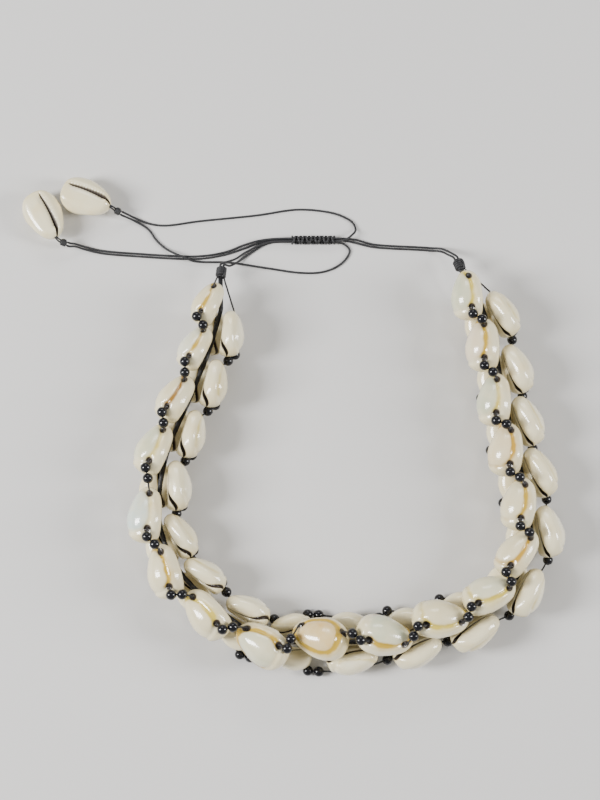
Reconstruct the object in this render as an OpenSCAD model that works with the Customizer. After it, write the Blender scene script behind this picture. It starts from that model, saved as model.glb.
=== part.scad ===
// Cowrie shell necklace. A core cord carries three rows of shells, backs outwards, and black beads
// join the shells of each row. A sliding knot holds the closing cords, which end in two shells.

/* [Shells] */
// Length of a full-size shell
shell_l = 17.9; // [16:0.1:18.4]
// Width of a full-size shell
shell_w = 12.1; // [11:0.1:12.3]
// Height of a full-size shell, base to back
shell_h = 9; // [8.4:0.1:9.2]
// Radius of the base's bulge across a full-size shell
base_bend = 9; // [7:0.5:16]
// Thickness of the shell wall
shell_wall = 1.1; // [0.8:0.1:1.4]
// Width of the slit in the base
slit_w = 1.1; // [0.8:0.1:1.6]
// Radius of the slit's curve
slit_bend = 26; // [18:1:40]
// Distance of the slit from the shell's middle
slit_shift = 1.3; // [0.8:0.1:1.8]
// Width of a groove between two teeth of the slit
groove_w = 0.4; // [0.3:0.05:0.6]
// Distance between two grooves
groove_pitch = 1.15; // [1:0.05:1.5]
// Length of a groove across the slit
groove_l = 2.9; // [2.2:0.1:3.6]
// Size of a tail shell against a full-size one
tail_share = 0.97; // [0.9:0.01:1.03]

/* [Beads and knots] */
// Diameter of a black bead
bead_d = 3.3; // [2.8:0.1:3.4]
// Gap between the two beads of a pair
bead_gap = 0.15; // [0.12:0.01:0.3]
// Clearance of a bead from the shells
bead_seat = 0.2; // [0.12:0.02:0.3]
// Diameter of an end knot
end_knot_d = 3.6; // [3.2:0.1:4]
// Length of the sliding knot
slide_l = 14.6; // [12:0.1:17]
// Diameter of the sliding knot over its turns
slide_d = 3.2; // [3.1:0.1:3.8]
// Number of turns on the sliding knot
slide_turns = 5; // [4:1:7]
// Depth between two turns of the sliding knot
slide_dip = 0.1; // [0.05:0.01:0.15]
// Diameter of the knot on a tail shell
tail_knot_d = 2.6; // [2.4:0.1:2.8]

/* [Cords] */
// Diameter of a strand of the closing cord
cord_d = 0.8; // [0.6:0.05:0.8]
// Gap between two strands that run side by side
cord_gap = 0.1; // [0.1:0.01:0.2]
// Diameter of the thread through the beads
thread_d = 0.6; // [0.4:0.05:0.7]
// Diameter of the core cord inside the rows
core_d = 1.6; // [1.2:0.1:2]
// Clearance round a thread or strand in its hole
thread_room = 0.25; // [0.2:0.05:0.3]

/* [Rows] */
// Distance of a shell's widest line from the core cord, as a share of half its width
row_spread = 0.84; // [0.84:0.01:1]

/* [Hidden] */
$fn = 40;

// Middle of the necklace on the surface
rope_at = [1.5, -3];

// One row for each shell of the top row, from the left end round to the right end
X = 0;    // the core cord's place under the shell, in shell lengths, to the right
Y = 1;    // and away from the viewer
ROLL = 2; // the way the back faces, from the inner side (0) up (90) to the outer side (180)
YAW = 3;  // the shell's turn on its base
SIZE = 4; // its size against a full-size shell
SIDE = 5; // the size of the side shells that follow it
HOLE = 6; // the drilled holes' turn from the middle of the back
stations = [
    [-1.32, 2.22, 142, 6, 0.84, 0.84, 40],
    [-1.55, 1.4, 140, 6, 0.87, 0.88, 46],
    [-1.91, 0.47, 136, 6, 0.93, 0.88, 38],
    [-2.27, -0.42, 136, 8, 0.97, 0.9, 50],
    [-2.4, -1.53, 134, 8, 1.01, 0.86, 54],
    [-2.08, -2.43, 136, 20, 0.99, 0.84, 46],
    [-1.4, -3.13, 134, 8, 1.01, 0.83, 48],
    [-0.51, -3.7, 115, 14, 1.02, 0.755, 52],
    [0.47, -3.75, 80, 16, 1.02, 0.92, 40],
    [1.59, -3.73, 77, 18, 1.02, 0.9, 40],
    [2.6, -3.48, 67, 18, 1.01, 0.93, 44],
    [3.52, -3.07, 57, 14, 0.98, 0.92, 44],
    [4.13, -2.29, 45, 18, 0.96, 0.93, 46],
    [4.17, -1.34, 50, 16, 0.96, 0.93, 46],
    [3.96, -0.35, 49, 18, 0.97, 0.93, 50],
    [3.79, 0.55, 45, 14, 0.97, 0.92, 44],
    [3.61, 1.56, 43, 14, 0.98, 0.9, 42],
    [3.34, 2.49, 43, 14, 0.92, 0.9, 52],
];
n_top = len(stations);
centre_shell = 9;

// The side rows: their turn and lean on the base, their holes, and how far all lower ends stand out
side_yaw = -8;
side_lean = 25;
side_hole = 60;
under_hole = 40;
under_size = 0.95;
shell_lift = 5;
row_turn = 120;

// Places along a shell as shares of its length, from the upper end
widest_at = 0.56;
upper_hole = 0.13;
lower_hole = 0.75;
bead_at = 0.84;

// Derived sizes
base_depth = shell_h - shell_w / 2;
core_room = 0.2;
hole_d = thread_d + 2 * thread_room;
bead_room = bead_d / 2 + bead_seat;
bead_step = bead_d + bead_gap;
lane = (cord_d + cord_gap) / 2;

// Routes of the closing strands, in round millimetres: x to the right, y away, z up
left_knot = [[-22.5, 47.8, 8.1], [-22.1, 51.5, 7.1]];
right_knot = [[56.2, 50.2, 8.6], [54.9, 53.8, 7.6]];
slide_at = [7.9, 62.2, 1.6];
tail_1_at = [-80.9, 69.4];
tail_1_way = [-0.48, 0.88];
tail_2_at = [-67.2, 75.5];
tail_2_way = [-0.93, 0.36];
tail_1_knot = [[-75.6, 61, 4.6], [-73.6, 60.4, 3.8]];
tail_2_knot = [[-57.8, 71.8, 4.6], [-56, 71, 3.8]];
left_a = [[-20.6, 54, 4.6], [-17.8, 55.8, 1.6], [-14.4, 58.3, 0.8], [-7.5, 61.3, 1.7]];
left_b = [[-19.6, 52.8, 4], [-16.8, 55, 1.4], [-13.2, 57.8, 0.4], [-7.2, 61.3, 0.7]];
upper_loop = [
    [18.4, 62, 2.8], [20.8, 63.8, 2.4], [22, 66, 0.8], [21, 68.5, 0.4], [18, 70.5, 0.4], [13.5, 72, 0.4],
    [3, 73, 0.4], [-11, 71, 0.4], [-30, 69, 0.4], [-41.5, 67.5, 0.4], [-46.5, 68.1, 0.4],
    [-51, 69.8, 0.8], [-53.6, 70.8, 2],
];
lower_loop = [
    [18.4, 60.9, 0.5], [20, 59, 0.4], [19, 56.4, 0.4], [16, 53.6, 0.4], [11, 51.6, 0.4], [4, 51.3, 0.4],
    [-8, 53, 0.4], [-20, 54.8, 0.4], [-28.5, 55, 0.4], [-32, 55.2, 1.1], [-35, 56.4, 1.7],
    [-38, 57.6, 1.7], [-41, 59.5, 0.6], [-44.2, 62.4, 0.4], [-47, 66.2, 0.4], [-51.2, 68.8, 0.8],
    [-53.8, 69.8, 2],
];
right_c = [[52.4, 56.2, 5.2], [50, 58.2, 2], [46.4, 58.9, 0.4], [28, 60.1, 0.4], [21.6, 61.6, 0.5]];
right_d = [[53.3, 56.9, 5], [50.4, 59.1, 2], [46.5, 59.8, 0.4], [28, 61, 0.4], [21.6, 62.5, 1.1]];
tail_c = [
    [-5, 62.5, 0.8], [-10, 61.6, 0.4], [-15, 59.7, 0.4], [-21, 57.6, 0.4], [-30, 56.1, 0.4],
    [-51.5, 57, 0.4], [-62.5, 58, 0.4], [-68, 59.2, 1], [-71, 59.8, 2.4],
];
tail_d = [
    [-5, 62.6, 1.7], [-10, 62.1, 1.3], [-15, 60.8, 0.6], [-21, 58.5, 0.4], [-30, 57, 0.4],
    [-51.5, 57.9, 0.4], [-62.5, 58.9, 0.4], [-68, 60.1, 1], [-71, 60.7, 2.4],
];

// Names of the nodes
function two_digits(k) = str(k < 10 ? "0" : "", k);
top_names = [for (k = [1 : n_top]) str("top_shell_", two_digits(k))];
inner_names = [for (k = [1 : centre_shell - 1]) str("inner_shell_", two_digits(k))];
outer_names = [for (k = [centre_shell : n_top - 1]) str("outer_shell_", two_digits(k))];

// Places along the core cord: t is 1 at the first shell of the top row and 18 at the last
function station(t, column) =
    let (k = min(max(floor(t), 1), n_top - 1), f = t - k)
    stations[k - 1][column] * (1 - f) + stations[k][column] * f;
function station_xy(k) =
    k < 1 ? 2 * station_xy(1) - station_xy(2)
    : k > n_top ? 2 * station_xy(n_top) - station_xy(n_top - 1)
    : rope_at + shell_l * [stations[k - 1][X], stations[k - 1][Y]];
function slope_xy(k) = (station_xy(k + 1) - station_xy(k - 1)) / 2;
function core_xy(t) =
    let (k = min(floor(t), n_top - 1), f = t - k, a = station_xy(k), b = station_xy(k + 1))
    a * (1 + 2 * f) * (1 - f) * (1 - f) + slope_xy(k) * f * (1 - f) * (1 - f)
    + b * f * f * (3 - 2 * f) - slope_xy(k + 1) * f * f * (1 - f);
function core_way(t) =
    let (step = 0.02, way = core_xy(min(t + step, n_top)) - core_xy(max(t - step, 1)))
    [way[0], way[1], 0] / norm(way);

// Height of the core cord: at each side shell the lowest shell touches the surface
function seat_d(share) = max(row_spread * shell_w / 2, core_d / 2 + core_room + base_depth * share);
function under_core(f) =
    let (along_z = f[0][2], round_z = norm([f[1][2], f[2][2]]), radius = shell_w / 2 * f[4])
    max([
        for (along = [0 : along_step : 1])
            half_width(along, radius) * round_z - shell_x(along, shell_l * f[4]) * along_z
    ]) - f[3][2];
function level(k) = max([for (turn = [-row_turn, row_turn]) under_core(frame_at(k + 0.5, turn, 0))]);
function core_z(t) =
    let (s = min(max(t - 0.5, 1), n_top - 1), k = floor(s), f = s - k)
    level(k) * (1 - f) + (f > 0 ? level(k + 1) * f : 0);
function core_point(t) = [core_xy(t)[0], core_xy(t)[1], core_z(t)];

// A shell's size and its holes' turn: t is whole for the top row and a half for the other rows
function row_roll(t, turn) = station(t, ROLL) + turn;
function is_under(t, turn) = turn == (t < centre_shell ? row_turn : -row_turn);
function shell_share(t, turn) =
    turn == 0 ? stations[t - 1][SIZE] : stations[floor(t) - 1][SIDE] * (is_under(t, turn) ? under_size : 1);
function hole_turn(t, turn) =
    turn == 0 ? stations[t - 1][HOLE]
    : abs(t - centre_shell) < 1 ? 0
    : is_under(t, turn) ? under_hole : side_hole;

// Frame of a shell: x along it from the upper to the lower end, z out through its back
function unit(v) = v / norm(v);
function lower_side(t) = t <= centre_shell ? 1 : -1;
function shell_frame(t, turn) = frame_at(t, turn, core_z(t));
function frame_at(t, turn, height) =
    let (
        way = core_way(t),
        inner = [-way[1], way[0], 0],
        roll = row_roll(t, turn),
        out = cos(roll) * inner + [0, 0, sin(roll)],
        along = lower_side(t) * way,
        yaw = turn == 0 ? station(t, YAW) : is_under(t, turn) ? 0 : side_yaw,
        turned = cos(yaw) * along + sin(yaw) * cross(along, out),
        x = cos(shell_lift) * turned + sin(shell_lift) * out,
        straight = cos(shell_lift) * out - sin(shell_lift) * turned,
        lean = turn == 0 || is_under(t, turn) ? 0 : side_lean,
        back = cos(lean) * straight + sin(lean) * cross(straight, x),
        share = shell_share(t, turn),
        place = [core_xy(t)[0], core_xy(t)[1], height] + seat_d(share) * out
    )
    [x, cross(back, x), back, place, share];
function in_frame(f, p) = f[3] + p[0] * f[0] + p[1] * f[1] + p[2] * f[2];
module set_in(f) {
    multmatrix([
        [f[0][0], f[1][0], f[2][0], f[3][0]],
        [f[0][1], f[1][1], f[2][1], f[3][1]],
        [f[0][2], f[1][2], f[2][2], f[3][2]],
        [0, 0, 0, 1],
    ])
        children();
}

// Outline of a shell as half widths along its axis: slender at the upper end, blunt at the lower one
outline_power = 2.3;
slender_power = 1.35;
outline_steps = 7;
function shell_x(along, length) = (along - 0.5) * length;
function end_share(along) =
    along < widest_at ? (widest_at - along) / widest_at : (along - widest_at) / (1 - widest_at);
function end_power(along) = along < widest_at ? slender_power : outline_power;
function half_width(along, radius) = radius * sqrt(max(0, 1 - pow(end_share(along), end_power(along))));
function outline_points(length, radius) =
    let (quarter = [for (k = [0 : outline_steps]) sin(90 * k / outline_steps)])
    concat(
        [for (k = [outline_steps : -1 : 0])
            let (along = widest_at * (1 - quarter[k])) [half_width(along, radius), shell_x(along, length)]],
        [for (k = [1 : outline_steps])
            let (along = widest_at + (1 - widest_at) * quarter[k])
            [half_width(along, radius), shell_x(along, length)]]
    );

// A point of a shell's own frame at a height off its surface, turned from the middle of the back
along_step = 0.01;
function surface_way(share, along) =
    let (d = along_step, rise = half_width(along + d, shell_w / 2) - half_width(along - d, shell_w / 2))
    unit([-rise, 2 * d * shell_l]);
function off_surface(share, along, turn, height) =
    let (
        way = surface_way(share, along),
        width = half_width(along, shell_w / 2 * share) + height * way[1]
    )
    [shell_x(along, shell_l * share) + height * way[0], width * sin(turn), width * cos(turn)];

module egg(length, radius) {
    rotate([0, 90, 0])
        rotate_extrude()
            polygon(outline_points(length, radius));
}

// The egg, cut by a base that bulges across its width
base_facets = 96;
module egg_on_base(length, radius, depth, bend) {
    intersection() {
        egg(length, radius);
        translate([-length, 0, bend - depth])
            rotate([0, 90, 0])
                cylinder(r = bend, h = 2 * length, $fn = base_facets);
    }
}

// A shell with its axis along x, its base level under it and its back up
module cowrie(share, holes = [], turn = 0, toothed = false) {
    length = shell_l * share;
    radius = shell_w / 2 * share;
    depth = base_depth * share;
    difference() {
        egg_on_base(length, radius, depth, base_bend * share);
        egg_on_base(
            length - 2 * shell_wall, radius - shell_wall, depth - shell_wall, base_bend * share - shell_wall
        );
        slit(length, depth);
        if (toothed)
            grooves(length, depth);
        for (along = holes)
            thread_hole(share, along, turn);
    }
}

// The curved slit of the base, which notches both ends
notch_share = 0.35;
slit_peak = -1.5;
slit_over = 1;
slit_facets = 240;
module slit(length, depth) {
    reach = asin((length / 2 + slit_over - slit_peak) / slit_bend);
    translate([slit_peak, slit_shift - slit_bend, -depth - shell_wall])
        rotate([0, 0, 90 - reach])
            rotate_extrude(angle = 2 * reach, $fn = slit_facets)
                translate([slit_bend - slit_w / 2, 0])
                    square([slit_w, depth * (1 - notch_share) + shell_wall]);
}

// Grooves across the slit leave the teeth of both lips standing
toothed_share = 0.36;
groove_depth = 1.6 * shell_wall;
module grooves(length, depth) {
    count = floor(length * toothed_share / groove_pitch);
    for (k = [-count : count])
        translate([slit_peak, slit_shift - slit_bend, -depth - shell_wall])
            rotate([0, 0, 90 - asin((k * groove_pitch - slit_peak) / slit_bend)])
                translate([slit_bend - groove_l / 2, -groove_w / 2, 0])
                    cube([groove_l, groove_w, groove_depth]);
}

// A hole for the thread, square to the surface
hole_reach = 3.4 * shell_wall;
module thread_hole(share, along, turn) {
    way = surface_way(share, along);
    translate(off_surface(share, along, turn, 0))
        rotate([-turn, 0, 0])
            rotate([0, atan2(way[0], way[1]), 0])
                cylinder(d = hole_d, h = hole_reach, center = true);
}

module top_shell(k) {
    holes = k == centre_shell ? [upper_hole, 1 - upper_hole] : [upper_hole, lower_hole];
    color("ivory")
        set_in(shell_frame(k, 0))
            cowrie(stations[k - 1][SIZE], holes, stations[k - 1][HOLE]);
}
module row_shell(t, turn) {
    color("seashell")
        set_in(shell_frame(t, turn))
            cowrie(shell_share(t, turn), [upper_hole, lower_hole], hole_turn(t, turn));
}

// How far a point lies from a shell's egg, and the way straight off it
function off_egg(f, p) =
    let (
        v = p - f[3],
        q = [v * f[0], v * f[1], v * f[2]],
        length = shell_l * f[4],
        radius = shell_w / 2 * f[4],
        ring = norm([q[1], q[2]]),
        along = q[0] / length + 0.5,
        power = end_power(along),
        half = along < widest_at ? widest_at : 1 - widest_at,
        end = end_share(along),
        s = sqrt(pow(end, power) + pow(ring / radius, 2)),
        gx = sign(along - widest_at) * power * pow(end, power - 1) / (2 * s * half * length),
        gr = ring / (s * radius * radius),
        g = norm([gx, gr])
    )
    [(s - 1) / g, (gx * f[0] + gr * (q[1] * f[1] + q[2] * f[2]) / ring) / g];

// A bead's place, moved off the shells and the surface until it clears them, and off the bead before it
settle_steps = 12;
function moved(p, frames, k = 0) =
    k == len(frames) ? [p[0], p[1], max(p[2], bead_d / 2 + bead_gap)]
    : let (off = off_egg(frames[k], p)) moved(p + max(0, bead_room - off[0]) * off[1], frames, k + 1);
function settled(p, frames, n = settle_steps) = n == 0 ? p : settled(moved(p, frames), frames, n - 1);
function settled_by(p, bead, frames, n = settle_steps) =
    n == 0 ? p
    : let (q = moved(p, frames), away = q - bead)
    settled_by(norm(away) < bead_step ? bead + bead_step * unit(away) : q, bead, frames, n - 1);

// The gap between the shells at t and t + 1 of a row: the shells before and after the two beads
function before(t) = t < centre_shell ? t : t + 1;
function after(t) = t < centre_shell ? t + 1 : t;
function middle_gap(t) = t < centre_shell && t + 1 > centre_shell;
function hole_point(t, turn, along, height) =
    in_frame(shell_frame(t, turn), off_surface(shell_share(t, turn), along, hole_turn(t, turn), height));
function bead_pair(t, turn) =
    let (
        i = before(t),
        j = after(t),
        frames = [shell_frame(i, turn), shell_frame(j, turn)],
        entry = middle_gap(t) ? bead_at : turn == 0 && t == centre_shell ? 1 - upper_hole : upper_hole,
        first = settled(hole_point(i, turn, bead_at, bead_room), frames),
        aim = hole_point(j, turn, entry, bead_room)
    )
    [first, settled_by(first + bead_step * unit(aim - first), first, frames)];

// A row's thread: through each shell by its two holes, and through the middle of each bead
thread_rise = 0.45;
thread_slack = 0.6;
thread_dive = shell_wall + thread_slack;
function first_t(turn) = turn == 0 ? 1 : 1.5;
function last_t(turn) = turn == 0 ? n_top : n_top - 0.5;
function through_shell(t, turn, from, to) =
    [
        hole_point(t, turn, from, thread_rise),
        hole_point(t, turn, from, -thread_dive),
        hole_point(t, turn, to, -thread_dive),
        hole_point(t, turn, to, thread_rise),
    ];
function shell_thread(t, turn) =
    t == centre_shell ? through_shell(t, turn, upper_hole, 1 - upper_hole)
    : t < centre_shell ? through_shell(t, turn, upper_hole, lower_hole)
    : through_shell(t, turn, lower_hole, upper_hole);
function gap_thread(t, turn) =
    let (pair = bead_pair(t, turn)) t < centre_shell ? pair : [pair[1], pair[0]];
function row_thread(turn) =
    [
        for (t = [first_t(turn) : last_t(turn)])
            each concat(shell_thread(t, turn), t < last_t(turn) ? gap_thread(t, turn) : [])
    ];
shell_thread_points = 4;
gap_thread_points = 2;

// Turns a piece that stands along z so that it points along a way
module point_along(from, way) {
    translate(from)
        rotate([0, acos(way[2]), atan2(way[1], way[0])])
            children();
}

// A bead on the thread: the bores towards the thread's points before and after it meet in its middle,
// one a little wider than the other. The sphere's seam is turned away from them
bore_step = 0.05;
bore_from = 0.4 * hole_d;
module bead(place, before, after, seam) {
    u = unit(before - place);
    w = unit(after - place);
    x = -unit(u + w);
    z = unit(cross(u, w));
    difference() {
        translate(place)
            rotate([0, 0, atan2(x[1], x[0]) + seam])
                sphere(d = bead_d);
        set_in([x, cross(z, x), z, place])
            for (side = [-1, 1])
                rotate([0, 90, 180 + side * acos(u * w) / 2])
                    translate([0, 0, -bore_from])
                        cylinder(d = hole_d + bore_step * side, h = bead_d);
    }
}

// Degrees by which the seams of a pair's first and second bead are turned, clear of their bores
top_seams = [10, 10];
inner_seams = [25, -20];
outer_seams = [37.5, 37.5];
module row_beads(turn, seams) {
    points = row_thread(turn);
    step = shell_thread_points + gap_thread_points;
    color("black")
        for (k = [shell_thread_points : step : len(points) - 1])
            for (n = [k : k + gap_thread_points - 1])
                bead(points[n], points[n - 1], points[n + 1], seams[n - k]);
}

// A round tube along points, mitred at each of them
function turned_by(u, a, b) = u - (u * b) / (1 + a * b) * (a + b);
function across(way) = unit(cross(way, abs(way[2]) < 0.9 ? [0, 0, 1] : [1, 0, 0]));
function tube_ring(p, u, way, normal, d, sides) =
    let (v = cross(way, u))
    [for (k = [0 : sides - 1])
        let (c = d / 2 * (cos(360 * k / sides) * u + sin(360 * k / sides) * v))
        p + c - way * (c * normal) / (way * normal)];
module tube(points, d, sides) {
    n = len(points);
    ways = [for (k = [0 : n - 2]) unit(points[k + 1] - points[k])];
    firsts = [
        for (k = 0, u = across(ways[0]); k < n - 1;
            u = k + 1 < n - 1 ? turned_by(u, ways[k], ways[k + 1]) : u, k = k + 1) u
    ];
    rings = [
        for (k = [0 : n - 1])
            let (i = max(k - 1, 0), j = min(k, n - 2))
            each tube_ring(points[k], firsts[i], ways[i], unit(ways[i] + ways[j]), d, sides)
    ];
    polyhedron(
        rings,
        concat(
            [[for (k = [0 : sides - 1]) k]],
            [for (r = [0 : n - 2], k = [0 : sides - 1])
                let (i = r * sides, j = i + sides, m = (k + 1) % sides)
                [i + m, i + k, j + k, j + m]],
            [[for (k = [sides - 1 : -1 : 0]) (n - 1) * sides + k]]
        )
    );
}

// Knots: a barrel between two points, with flat ends that the cords meet
knot_chamfer = 0.3;
module knot(ends, d) {
    length = norm(ends[1] - ends[0]);
    color("black")
        point_along(ends[0], unit(ends[1] - ends[0]))
            rotate_extrude()
                polygon([
                    [0, 0], [d / 2 - knot_chamfer, 0], [d / 2, knot_chamfer],
                    [d / 2, length - knot_chamfer], [d / 2 - knot_chamfer, length], [0, length],
                ]);
}
butt_gap = 0.05;
run_out = 1;
knot_spread = 0.55;
function knot_way(ends) = unit(ends[1] - ends[0]);
function knot_side(ends) = unit(cross(knot_way(ends), [0, 0, 1]));
function from_knot(ends, side) =
    let (face = ends[1] + butt_gap * knot_way(ends) + side * knot_spread * knot_side(ends))
    [face, face + run_out * knot_way(ends)];
function to_knot(ends, side) = let (pair = from_knot(ends, side)) [pair[1], pair[0]];

// The threads and the core cord meet the inner faces of the end knots, the threads round the core
thread_spread = (core_d + thread_d) / 2 + butt_gap;
round_end = 0.02;
round_rise = 0.8;
function to_row(ends, side) =
    let (
        way = knot_way(ends),
        off = side - (side * way) * way,
        face = ends[0] - butt_gap * way + (norm(side) > 0 ? thread_spread * unit(off) : [0, 0, 0])
    )
    [face, face - run_out * way];
function reversed(list) = [for (k = [len(list) - 1 : -1 : 0]) list[k]];
module thread(turn) {
    first = first_t(turn);
    last = last_t(turn);
    left = to_row(left_knot, shell_frame(first, turn)[3] - core_point(first));
    right = to_row(right_knot, shell_frame(last, turn)[3] - core_point(last));
    color("black")
        tube(
            concat(
                left, [hole_point(first, turn, round_end, round_rise)], row_thread(turn),
                [hole_point(last, turn, round_end, round_rise)], reversed(right)
            ),
            thread_d, 6
        );
}
module core_cord() {
    step = 0.5;
    color("dimgray")
        tube(
            concat(
                to_row(left_knot, [0, 0, 0]),
                [for (t = [1 : step : n_top]) core_point(t)],
                reversed(to_row(right_knot, [0, 0, 0]))
            ),
            core_d, 8
        );
}

// The closing strands, laid through the four lanes of the sliding knot
function in_slide(end, y, z) = slide_at + [end * slide_l / 2, y * lane, z * lane];
strand_a = concat(
    from_knot(left_knot, -1), left_a, [in_slide(-1, -1, 1), in_slide(1, -1, 1)],
    upper_loop, to_knot(tail_2_knot, -1)
);
strand_b = concat(
    from_knot(left_knot, 1), left_b, [in_slide(-1, -1, -1), in_slide(1, -1, -1)],
    lower_loop, to_knot(tail_2_knot, 1)
);
strand_c = concat(
    from_knot(right_knot, -1), right_c, [in_slide(1, 1, -1), in_slide(-1, 1, -1)],
    tail_c, to_knot(tail_1_knot, 1)
);
strand_d = concat(
    from_knot(right_knot, 1), right_d, [in_slide(1, 1, 1), in_slide(-1, 1, 1)],
    tail_d, to_knot(tail_1_knot, -1)
);
module strand(points) {
    color("black")
        tube(points, cord_d, 8);
}

// The sliding knot: turns side by side round a square channel
slide_room = 0.08;
turn_steps = 6;
module sliding_knot() {
    channel = 2 * lane + cord_d + 2 * slide_room;
    count = slide_turns * turn_steps;
    color("black")
        difference() {
            translate(slide_at - [slide_l / 2, 0, 0])
                rotate([0, 90, 0])
                    rotate_extrude()
                        polygon(concat(
                            [[0, 0]],
                            [for (k = [0 : count])
                                [slide_d / 2 - slide_dip * (1 - abs(sin(180 * k / turn_steps))),
                                    slide_l * k / count]],
                            [[0, slide_l]]
                        ));
            translate(slide_at)
                cube([2 * slide_l, channel, channel], center = true);
        }
}

// A tail shell rests on its back, its upper end towards the cord
module tail_shell(at, way) {
    x = unit([way[0], way[1], 0]);
    back = [0, 0, -1];
    color("ivory")
        set_in([x, cross(back, x), back, [at[0], at[1], shell_w / 2 * tail_share]])
            cowrie(tail_share, toothed = true);
}

for (k = [1 : n_top])
    top_shell(k);
for (k = [1 : centre_shell - 1])
    row_shell(k + 0.5, -row_turn);
for (k = [centre_shell : n_top - 1])
    row_shell(k + 0.5, row_turn);
for (k = [1 : centre_shell - 1])  // under_shells_left
        row_shell(k + 0.5, row_turn);
for (k = [centre_shell : n_top - 1])  // under_shells_right
        row_shell(k + 0.5, -row_turn);
row_beads(0, top_seams);  // top_beads
row_beads(-row_turn, inner_seams);  // inner_beads
row_beads(row_turn, outer_seams);  // outer_beads
thread(0);  // top_thread
thread(-row_turn);  // inner_thread
thread(row_turn);  // outer_thread
core_cord();
knot(left_knot, end_knot_d);  // left_end_knot
knot(right_knot, end_knot_d);  // right_end_knot
strand(strand_a);
strand(strand_b);
strand(strand_c);
strand(strand_d);
sliding_knot();
tail_shell(tail_1_at, tail_1_way);  // tail_shell_1
tail_shell(tail_2_at, tail_2_way);  // tail_shell_2
knot(tail_1_knot, tail_knot_d);  // tail_knot_1
knot(tail_2_knot, tail_knot_d);  // tail_knot_2
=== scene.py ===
"""Looks of a cowrie shell necklace: fine shells, beads, threads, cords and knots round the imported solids."""

import math
import random

import bmesh
import bpy
import numpy as np
from mathutils import Matrix, Vector


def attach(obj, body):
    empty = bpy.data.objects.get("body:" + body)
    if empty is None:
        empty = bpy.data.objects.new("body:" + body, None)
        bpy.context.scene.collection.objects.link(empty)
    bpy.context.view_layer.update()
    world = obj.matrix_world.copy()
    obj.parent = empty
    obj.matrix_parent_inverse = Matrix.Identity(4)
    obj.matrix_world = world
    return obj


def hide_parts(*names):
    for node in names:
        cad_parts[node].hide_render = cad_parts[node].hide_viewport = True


bl_info = {
    "name": "Cowrie necklace",
    "version": (1, 0, 0),
    "blender": (4, 2, 0),
    "location": "View3D > Sidebar > Necklace",
    "description": "Builds a choker of ring cowries with black beads, waxed cords and its studio",
    "category": "Add Mesh",
}

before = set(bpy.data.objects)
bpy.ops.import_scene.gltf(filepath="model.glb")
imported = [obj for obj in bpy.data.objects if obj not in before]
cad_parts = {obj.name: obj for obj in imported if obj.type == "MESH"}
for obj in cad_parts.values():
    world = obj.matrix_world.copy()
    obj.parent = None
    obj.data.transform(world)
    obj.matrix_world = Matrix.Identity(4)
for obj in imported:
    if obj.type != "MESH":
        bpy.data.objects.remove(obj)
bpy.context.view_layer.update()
MM = 0.001
ROOT = "root"

# The top row from the left end round to the right end: the core cord's place in shell lengths, the way
# the back faces and the turn on its base in degrees, sizes, and the turn of the drilled holes
X, Y, ROLL, YAW, SIZE, SIDE, HOLE = range(7)
STATIONS = [
    (-1.32, 2.22, 142, 6, 0.84, 0.84, 40),
    (-1.55, 1.4, 140, 6, 0.87, 0.88, 46),
    (-1.91, 0.47, 136, 6, 0.93, 0.88, 38),
    (-2.27, -0.42, 136, 8, 0.97, 0.9, 50),
    (-2.4, -1.53, 134, 8, 1.01, 0.86, 54),
    (-2.08, -2.43, 136, 20, 0.99, 0.84, 46),
    (-1.4, -3.13, 134, 8, 1.01, 0.83, 48),
    (-0.51, -3.7, 115, 14, 1.02, 0.755, 52),
    (0.47, -3.75, 80, 16, 1.02, 0.92, 40),
    (1.59, -3.73, 77, 18, 1.02, 0.9, 40),
    (2.6, -3.48, 67, 18, 1.01, 0.93, 44),
    (3.52, -3.07, 57, 14, 0.98, 0.92, 44),
    (4.13, -2.29, 45, 18, 0.96, 0.93, 46),
    (4.17, -1.34, 50, 16, 0.96, 0.93, 46),
    (3.96, -0.35, 49, 18, 0.97, 0.93, 50),
    (3.79, 0.55, 45, 14, 0.97, 0.92, 44),
    (3.61, 1.56, 43, 14, 0.98, 0.9, 42),
    (3.34, 2.49, 43, 14, 0.92, 0.9, 52),
]
# How the rows lie round the core cord: counts, turns in degrees, lengths in millimetres, and shares
N_TOP = len(STATIONS)
CENTRE = 9
ROPE_AT = (1.5, -3.0)
ROW_TURN = 120
SIDE_YAW = -8
SIDE_LEAN = 25
SIDE_HOLE = 60
UNDER_HOLE = 40
UNDER_SIZE = 0.95
SHELL_LIFT = 5
SPREAD = 0.84
CORE_D = 1.6
CORE_ROOM = 0.2
UPPER_HOLE = 0.13
LOWER_HOLE = 0.75
THREAD_RISE = 0.45
THREAD_DIVE = 1.7
THREAD_D = 0.6
KNOT_GAP = 0.05

# Shell form, in millimetres for a full-size shell
SHELL_L = 17.9
SHELL_W = 12.1
BASE_DEPTH = 2.95
BASE_BEND = 9.0
WIDEST = 0.56
OUTLINE_POWER = 2.3
SLENDER_POWER = 1.35
SLIT_BEND = 26.0
SLIT_SHIFT = 1.3
SLIT_PEAK = -1.5

# Named tints of the domes, the rings and the lower ends
TINTS = {
    "cream": (0.74, 0.65, 0.40),
    "white": (0.80, 0.80, 0.72),
    "blue": (0.52, 0.64, 0.62),
    "green": (0.47, 0.53, 0.38),
    "amber": (0.72, 0.47, 0.16),
    "pink": (0.76, 0.60, 0.44),
    "gold": (0.50, 0.32, 0.03),
    "brown": (0.28, 0.14, 0.02),
    "orange": (0.50, 0.29, 0.03),
    "straw": (0.60, 0.46, 0.07),
}
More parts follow.
